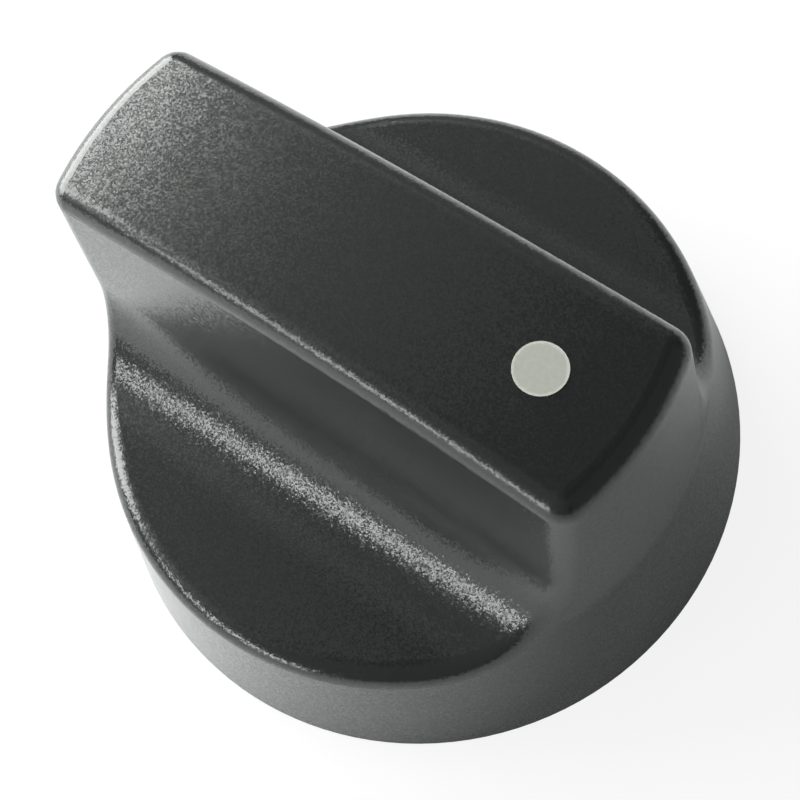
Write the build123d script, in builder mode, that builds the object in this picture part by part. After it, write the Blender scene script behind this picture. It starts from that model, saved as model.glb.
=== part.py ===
from build123d import *
from math import asin, degrees, radians, tan
import os

os.makedirs("parts", exist_ok=True)

# Driving dimensions, in millimetres and degrees.
# The origin is the centre of the skirt's lower rim, +Z points up through the grip and +X along it to the dot.

# Outside form
base_diameter = 45.0
waist_diameter = 39.9
waist_rise = 1.0
waist_blend = 9.0
deck_height = 10.8
grip_height = 28.4
grip_width = 11.8
side_draft = 6.7
end_draft = 3.6
crown_radius = 170.0
root_radius = 7.5
edge_radius = 1.6

# Hollow underside
wall = 2.0
roof = 2.4

# Shaft socket, hub and ribs
shaft_diameter = 8.0
shaft_across_flat = 6.5
shaft_clearance = 0.05
hub_wall = 2.2
hub_recess = 1.0
socket_end_wall = 5.0
slit_width = 1.2
slit_depth = 5.0
rib_thickness = 1.4
rib_depth = 2.2
rib_spread = 60.0
ribs_per_side = 2

# Spring ring and its groove
ring_thickness = 0.7
ring_width = 2.6
ring_gap = 5.0
groove_depth = 0.4
groove_lip = 0.9
ring_clearance = 0.05

# Pointer dot
dot_diameter = 3.0
dot_position = 12.6
dot_thickness = 0.8
dot_proud = 0.03
dot_clearance = 0.03

# Sizes that follow from them
base_radius = base_diameter / 2
waist_height = deck_height + waist_rise
socket_radius = shaft_diameter / 2 + shaft_clearance
socket_flat = shaft_across_flat - shaft_diameter / 2 + shaft_clearance
hub_radius = socket_radius + hub_wall
socket_top = grip_height - socket_end_wall
groove_radius = hub_radius - groove_depth
groove_base = hub_recess + groove_lip
crown_centre = grip_height - crown_radius
reach = 2 * base_diameter


def wall_radius(height):
    """Outside radius of the turned wall above the waist, which leans in by the end draft."""
    return waist_diameter / 2 - (height - waist_height) * tan(radians(end_draft))


def knob_form(inset, top_inset):
    """Skirt, deck and bar grip as one sharp-edged solid, with its walls moved in and its top moved down."""
    with BuildPart() as form:
        # Turned wall: the skirt flares out below the waist, and the grip's ends lean in above it
        with BuildSketch(Plane.YZ) as outline:
            with BuildLine():
                Polyline(
                    (0, 0),
                    (base_radius - inset, 0),
                    (wall_radius(waist_height) - inset, waist_height),
                    (wall_radius(grip_height) - inset, grip_height),
                    (0, grip_height),
                    close=True,
                )
            make_face()
            waist = outline.vertices().group_by(Axis.Y)[1]
            fillet(waist, waist_blend + inset)
        revolve(axis=Axis.Z)

        # Both sides of the grip are cut down to the deck, with the concave root left standing
        with BuildSketch(Plane.YZ) as beside:
            grip_side = grip_width / 2 - inset
            root_side = grip_side + (grip_height - deck_height + inset) * tan(radians(side_draft))
            with BuildLine():
                Polyline(
                    (grip_side, grip_height),
                    (root_side, deck_height - inset),
                    (reach, deck_height - inset),
                    (reach, grip_height),
                    close=True,
                )
            make_face()
            root = beside.vertices().group_by(Axis.Y)[0].sort_by(Axis.X)[0]
            fillet(root, root_radius + inset)
            mirror(about=Plane.YZ)
        extrude(amount=reach, both=True, mode=Mode.SUBTRACT)

        # Crowned top, an arc along the grip
        with Locations((0, 0, crown_centre)):
            Cylinder(crown_radius - top_inset, reach, rotation=(90, 0, 0), mode=Mode.INTERSECT)
    return form.part


outside = knob_form(0, 0)
hollow = knob_form(wall, roof)
wall_middle = knob_form(wall / 2, roof / 2)

# Hub and ribs, trimmed half-way through the walls that they join
with BuildPart() as core:
    with BuildSketch(Plane.XY.offset(hub_recess)):
        Circle(hub_radius)
    extrude(amount=grip_height)
    with BuildSketch(Plane.XY.offset(deck_height - wall - rib_depth)):
        for side in (90, 270):
            for step in range(ribs_per_side):
                turn = side + (step - (ribs_per_side - 1) / 2) * rib_spread
                with Locations(Rotation(0, 0, turn)):
                    Rectangle(reach, rib_thickness, align=(Align.MIN, Align.CENTER))
    extrude(amount=grip_height)
    add(wall_middle, mode=Mode.INTERSECT)

# Moulded body: skirt, deck and grip as one shell with the hub inside it
with BuildPart() as knob_body:
    add(outside)
    above_deck = edges().filter_by_position(Axis.Z, deck_height - edge_radius / 4, grip_height)
    across_ends = above_deck.filter_by(GeomType.CIRCLE).filter_by_position(Axis.Y, -edge_radius, edge_radius)
    fillet(above_deck.filter_by(Axis.X, reverse=True) - across_ends, edge_radius)
    add(hollow, mode=Mode.SUBTRACT)
    add(core.part)

    # D-shaped socket for the shaft, its flat towards the dot
    with BuildSketch(Plane.XY.offset(hub_recess)):
        Circle(socket_radius)
        with Locations((socket_flat, 0)):
            Rectangle(reach, reach, align=(Align.MIN, Align.CENTER), mode=Mode.SUBTRACT)
    extrude(amount=socket_top - hub_recess, mode=Mode.SUBTRACT)

    # The slit parts the hub's end into two jaws, and the groove round them holds the ring
    with BuildSketch(Plane.XY.offset(hub_recess)):
        Rectangle(slit_width, 2 * hub_radius)
    extrude(amount=slit_depth, mode=Mode.SUBTRACT)
    with BuildSketch(Plane.XY.offset(groove_base)):
        Circle(hub_radius)
        Circle(groove_radius, mode=Mode.SUBTRACT)
    extrude(amount=ring_width + 2 * ring_clearance, mode=Mode.SUBTRACT)

    # Pocket for the dot, square to the crowned top
    dot_lean = degrees(asin(dot_position / crown_radius))
    dot_seat = Plane((0, 0, crown_centre)).rotated((0, dot_lean, 0)).offset(crown_radius - dot_thickness)
    with BuildSketch(dot_seat):
        Circle(dot_diameter / 2 + dot_clearance)
    extrude(amount=reach, mode=Mode.SUBTRACT)
knob_body.part.label = "knob_body"
export_step(knob_body.part, "parts/knob_body.step")

# Silver inlay that shows where the knob points
with BuildPart() as pointer_dot:
    with BuildSketch(dot_seat):
        Circle(dot_diameter / 2)
    extrude(amount=dot_thickness + dot_proud)
pointer_dot.part.label = "pointer_dot"
export_step(pointer_dot.part, "parts/pointer_dot.step")

# Open ring of spring steel that presses the jaws on the shaft
with BuildPart() as spring_ring:
    with BuildSketch(Plane.XY.offset(groove_base + ring_clearance)):
        Circle(groove_radius + ring_clearance + ring_thickness)
        Circle(groove_radius + ring_clearance, mode=Mode.SUBTRACT)
        Rectangle(reach, ring_gap, align=(Align.MAX, Align.CENTER), mode=Mode.SUBTRACT)
    extrude(amount=ring_width)
spring_ring.part.label = "spring_ring"
export_step(spring_ring.part, "parts/spring_ring.step")
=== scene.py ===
import math

import bpy
from mathutils import Matrix, Quaternion, Vector


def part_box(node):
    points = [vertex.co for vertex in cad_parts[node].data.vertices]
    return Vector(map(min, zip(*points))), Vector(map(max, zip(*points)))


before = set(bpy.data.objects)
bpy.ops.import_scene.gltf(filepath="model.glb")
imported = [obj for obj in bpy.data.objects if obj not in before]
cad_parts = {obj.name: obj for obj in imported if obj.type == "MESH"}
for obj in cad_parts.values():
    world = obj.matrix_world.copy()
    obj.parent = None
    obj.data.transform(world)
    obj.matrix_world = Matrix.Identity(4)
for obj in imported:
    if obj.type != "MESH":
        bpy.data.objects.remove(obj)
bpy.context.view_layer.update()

# Knob body
# One injection moulding in black heat-resistant plastic: skirt, deck, bar grip and hub in a single shell.
# The mould is spark-eroded, so every face carries tiny facets that glitter where they catch a lamp.
# Towards the top of the grip, where fingers rub, the facets lean less and are a little duller.


class Wire:
    """A shader socket used as a number: arithmetic with wires or numbers adds Math nodes to its tree."""

    def __init__(self, tree, socket=None):
        self.tree = tree
        self.socket = socket

    def node(self, kind, settings, inputs, output=0):
        """Adds a shader node, applies its settings, then fills or links its inputs, and wraps one output."""
        made = self.tree.nodes.new("ShaderNode" + kind)
        for name, value in settings.items():
            setattr(made, name, value)
        for name, value in inputs.items():
            if isinstance(value, Wire):
                value.feed(made.inputs[name])
            else:
                made.inputs[name].default_value = value
        return Wire(self.tree, made.outputs[output])

    def feed(self, target):
        """Links this socket to an input of another node in its tree."""
        self.tree.links.new(self.socket, target)

    def arithmetic(self, operation, first, second):
        """Adds a Math node on two wires or plain numbers."""
        return self.node("Math", {"operation": operation}, {0: first, 1: second})

    def __add__(self, other):
        return self.arithmetic("ADD", self, other)

    def __rsub__(self, other):
        return self.arithmetic("SUBTRACT", other, self)

    def __mul__(self, other):
        return self.arithmetic("MULTIPLY", self, other)

    __radd__ = __add__
    __rmul__ = __mul__


def new_finish(name):
    """A new material with the inputs of its Principled shader, and a wire that adds nodes to its tree."""
    finish = bpy.data.materials.new(name)
    finish.use_nodes = True
    return finish, finish.node_tree.nodes["Principled BSDF"].inputs, Wire(finish.node_tree)


def dress(node_name, finish):
    """Gives a node of the frame one material in place of its own."""
    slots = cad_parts[node_name].data.materials
    slots.clear()
    slots.append(finish)


MM = 0.001
plastic_black = (0.0128, 0.0132, 0.0131, 1)
plastic_roughness = 0.17
facet_size = 0.10 * MM
facet_slope = 0.13
cloud_size = 6.0 * MM
cloud_roughness = 0.04
rub_begins = 12 * MM
rub_is_full = 27 * MM
rub_flattening = 0.28
rub_roughness = 0.04

plastic, shader, add = new_finish("black_grained_plastic")
point = add.node("TexCoord", {}, {}, "Object")
cloud = add.node("TexNoise", {}, {"Vector": point, "Scale": 1 / cloud_size, "Detail": 3.0}, "Fac")
height = add.node("SeparateXYZ", {}, {"Vector": point}, "Z")
rubbed = add.node("MapRange", {}, {"Value": height, "From Min": rub_begins, "From Max": rub_is_full})

# A facet's normal is the smooth normal plus its cell's random vector times the slope, made unit length
cell = add.node("TexVoronoi", {}, {"Vector": point, "Scale": 1 / facet_size}, "Color")
chance = add.node("VectorMath", {"operation": "SUBTRACT"}, {0: cell, 1: (0.5, 0.5, 0.5)})
slope = facet_slope * (1 - rub_flattening * rubbed)
lean = add.node("VectorMath", {"operation": "SCALE"}, {0: chance, "Scale": slope})
smooth = add.node("NewGeometry", {}, {}, "Normal")
tilted = add.node("VectorMath", {"operation": "ADD"}, {0: smooth, 1: lean})
facets = add.node("VectorMath", {"operation": "NORMALIZE"}, {0: tilted})
facets.feed(shader["Normal"])

dullness = plastic_roughness + cloud_roughness * cloud + rub_roughness * rubbed
dullness.feed(shader["Roughness"])
shader["Base Color"].default_value = plastic_black
dress("knob_body", plastic)

# Pointer dot
# A silver-grey inlay filled into a shallow round pocket in the top of the grip.
# Its face is satin and a little uneven, and it is lighter where the filling meets the pocket's edge.
dot_low, dot_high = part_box("pointer_dot")
dot_radius = (dot_high.y - dot_low.y) / 2
dot_centre = (dot_high.x - dot_radius, 0, 0)
edge_width = 0.12 * MM
edge_begins = dot_radius - edge_width
edge_lightness = 0.12
mottle_size = 0.25 * MM
mottle_lightness = 0.10
mottle_roughness = 0.15
silver_lightness = 0.34
silver_roughness = 0.40
blue_share = 0.9

inlay, shader, add = new_finish("silver_inlay")
point = add.node("TexCoord", {}, {}, "Object")
mottle = add.node("TexNoise", {}, {"Vector": point, "Scale": 1 / mottle_size, "Detail": 3.0}, "Fac")
from_centre = add.node("VectorMath", {"operation": "SUBTRACT"}, {0: point, 1: dot_centre})
flat = add.node("VectorMath", {"operation": "MULTIPLY"}, {0: from_centre, 1: (1, 1, 0)})
radius = add.node("VectorMath", {"operation": "LENGTH"}, {0: flat}, "Value")
uneven = radius + edge_width * mottle
edge = add.node("MapRange", {}, {"Value": uneven, "From Min": edge_begins, "From Max": dot_radius})
tone = silver_lightness + mottle_lightness * mottle + edge_lightness * edge
silver = add.node("CombineColor", {}, {"Red": tone, "Green": tone, "Blue": blue_share * tone}, "Color")
silver.feed(shader["Base Color"])
satin = silver_roughness + mottle_roughness * mottle
satin.feed(shader["Roughness"])
dress("pointer_dot", inlay)

# Spring ring
# An open ring bent from bright drawn spring-steel strip, snapped into the groove round the split hub.
# Drawing leaves fine lines along the strip, round the ring.
steel_grey = (0.52, 0.53, 0.54, 1)
steel_roughness = 0.20
line_pitch = 0.06 * MM
line_length = 1.5 * MM
line_roughness = 0.25

steel, shader, add = new_finish("spring_steel")
point = add.node("TexCoord", {}, {}, "Object")
stretch = line_pitch / line_length
drawn = add.node("VectorMath", {"operation": "MULTIPLY"}, {0: point, 1: (stretch, stretch, 1)})
lines = add.node("TexNoise", {}, {"Vector": drawn, "Scale": 1 / line_pitch, "Detail": 2.0}, "Fac")
polish = steel_roughness + line_roughness * lines
polish.feed(shader["Roughness"])
shader["Base Color"].default_value = steel_grey
shader["Metallic"].default_value = 1.0
dress("spring_ring", steel)

# Floor
# A plain sheet of pale paper under the knob, with a faint cloudiness in its pulp.
# To the camera it is nearly white and keeps only a soft trace of the shadow.
floor_half = 3.0
paper_lightness = 0.94
paper_roughness = 0.9
pulp_size = 4.0 * MM
pulp_lightness = 0.03
camera_lift = 0.85
mirror_lift = 0.04
pure_white = (1, 1, 1, 1)

corners = [(floor_half * x, floor_half * y, 0) for x, y in ((-1, -1), (1, -1), (1, 1), (-1, 1))]
floor_mesh = bpy.data.meshes.new("floor")
floor_mesh.from_pydata(corners, [], [(0, 1, 2, 3)])
floor = bpy.data.objects.new("floor", floor_mesh)
bpy.context.scene.collection.objects.link(floor)

paper, shader, add = new_finish("pale_paper")
point = add.node("TexCoord", {}, {}, "Object")
pulp = add.node("TexNoise", {}, {"Vector": point, "Scale": 1 / pulp_size, "Detail": 4.0}, "Fac")
tone = paper_lightness + pulp_lightness * pulp
pale = add.node("CombineColor", {}, {"Red": tone, "Green": tone, "Blue": tone}, "Color")
pale.feed(shader["Base Color"])
shader["Roughness"].default_value = paper_roughness
shader["Specular IOR Level"].default_value = 0.0
camera_ray = add.node("LightPath", {}, {}, "Is Camera Ray")
glossy_ray = add.node("LightPath", {}, {}, "Is Glossy Ray")
transmitted_ray = add.node("LightPath", {}, {}, "Is Transmission Ray")
lift = camera_lift * camera_ray + mirror_lift * (glossy_ray + transmitted_ray)
glow = add.node("Emission", {}, {"Color": pure_white, "Strength": 1.0})
lit = Wire(add.tree, add.tree.nodes["Principled BSDF"].outputs[0])
sheet = add.node("MixShader", {}, {0: lift, 1: lit, 2: glow})
sheet.feed(add.tree.nodes["Material Output"].inputs["Surface"])
floor_mesh.materials.append(paper)

# Light
# Soft studio light: a broad window behind the grip's far end, fading upwards into a dim wall,
# a slanting strip in front on the left, and faint fills round the other sides.
room_grey = (0.140, 0.150, 0.148, 1)
lamp_tint = (0.975, 1.0, 0.98)
lamp_distance = 0.5

world = bpy.data.worlds.new("studio")
world.use_nodes = True
bpy.context.scene.world = world
add = Wire(world.node_tree)
walls = add.tree.nodes["Background"]
walls.inputs["Color"].default_value = room_grey
room = Wire(add.tree, walls.outputs[0])
backdrop = add.node("Background", {}, {"Color": pure_white, "Strength": 1.0})
camera_ray = add.node("LightPath", {}, {}, "Is Camera Ray")
surroundings = add.node("MixShader", {}, {0: camera_ray, 1: room, 2: backdrop})
surroundings.feed(add.tree.nodes["World Output"].inputs["Surface"])


def softbox(name, azimuth, elevation, width, height, radiance, roll=0):
    """A rectangular lamp that faces the knob from an azimuth, counted from +X, and an elevation, in degrees.

    Its power is the radiance times pi times its area, so a lamp of another size looks just as bright.
    """
    lamp = bpy.data.lights.new(name, "AREA")
    lamp.shape = "RECTANGLE"
    lamp.size = width
    lamp.size_y = height
    lamp.energy = radiance * math.pi * width * height
    lamp.color = lamp_tint
    holder = bpy.data.objects.new(name, lamp)
    bpy.context.scene.collection.objects.link(holder)
    turn = math.radians(azimuth)
    rise = math.radians(elevation)
    towards = Vector((math.cos(turn) * math.cos(rise), math.sin(turn) * math.cos(rise), math.sin(rise)))
    slant = Quaternion((0, 0, 1), math.radians(roll))
    holder.location = towards * lamp_distance
    holder.rotation_mode = "QUATERNION"
    holder.rotation_quaternion = towards.to_track_quat("Z", "Y") @ slant
    holder.visible_camera = False


softbox("back_window", azimuth=181, elevation=23.0, width=0.66, height=0.30, radiance=11.5)
softbox("window_glow", azimuth=183, elevation=41.5, width=0.46, height=0.04, radiance=9.0)
softbox("window_haze", azimuth=178, elevation=44, width=0.70, height=0.09, radiance=0.3)
softbox("far_fill", azimuth=115, elevation=25, width=0.34, height=0.40, radiance=0.3)
softbox("left_strip", azimuth=-108, elevation=15.5, width=0.46, height=0.032, radiance=22.5, roll=-32)
softbox("front_fill", azimuth=-85, elevation=40, width=1.00, height=0.60, radiance=0.2)
softbox("right_fill", azimuth=16, elevation=30, width=0.60, height=0.44, radiance=0.18)
softbox("back_wall_low", azimuth=182, elevation=46, width=0.93, height=0.20, radiance=0.4)
softbox("back_wall_high", azimuth=172, elevation=56, width=0.95, height=0.42, radiance=0.35)

# Camera
# The photo's viewing angle, with the lens and distance that its perspective asks for.
# Angles are in radians, and the azimuth is counted from -Y towards +X.
view_azimuth = 1.0299
view_elevation = 1.1676
view_roll = -0.4277
view_distance = 91.046 * MM
view_target = Vector((0.3087, -0.9774, 8.2719)) * MM
focal_pixels = 1357.12
photo_pixels = 800
sensor_width = 36.0

back = Vector(
    (
        math.cos(view_elevation) * math.sin(view_azimuth),
        -math.cos(view_elevation) * math.cos(view_azimuth),
        math.sin(view_elevation),
    )
)
level = Vector((math.cos(view_azimuth), math.sin(view_azimuth), 0))
upright = back.cross(level)
right = math.cos(view_roll) * level + math.sin(view_roll) * upright
up = math.cos(view_roll) * upright - math.sin(view_roll) * level
turned = Matrix((right, up, back)).transposed().to_4x4()
camera_data = bpy.data.cameras.new("camera")
camera_data.sensor_width = sensor_width
camera_data.lens = sensor_width * focal_pixels / photo_pixels
camera_data.clip_start = MM
camera = bpy.data.objects.new("camera", camera_data)
bpy.context.scene.collection.objects.link(camera)
camera.matrix_world = Matrix.Translation(view_target + back * view_distance) @ turned
bpy.context.scene.camera = camera
bpy.context.scene.view_settings.view_transform = "Standard"
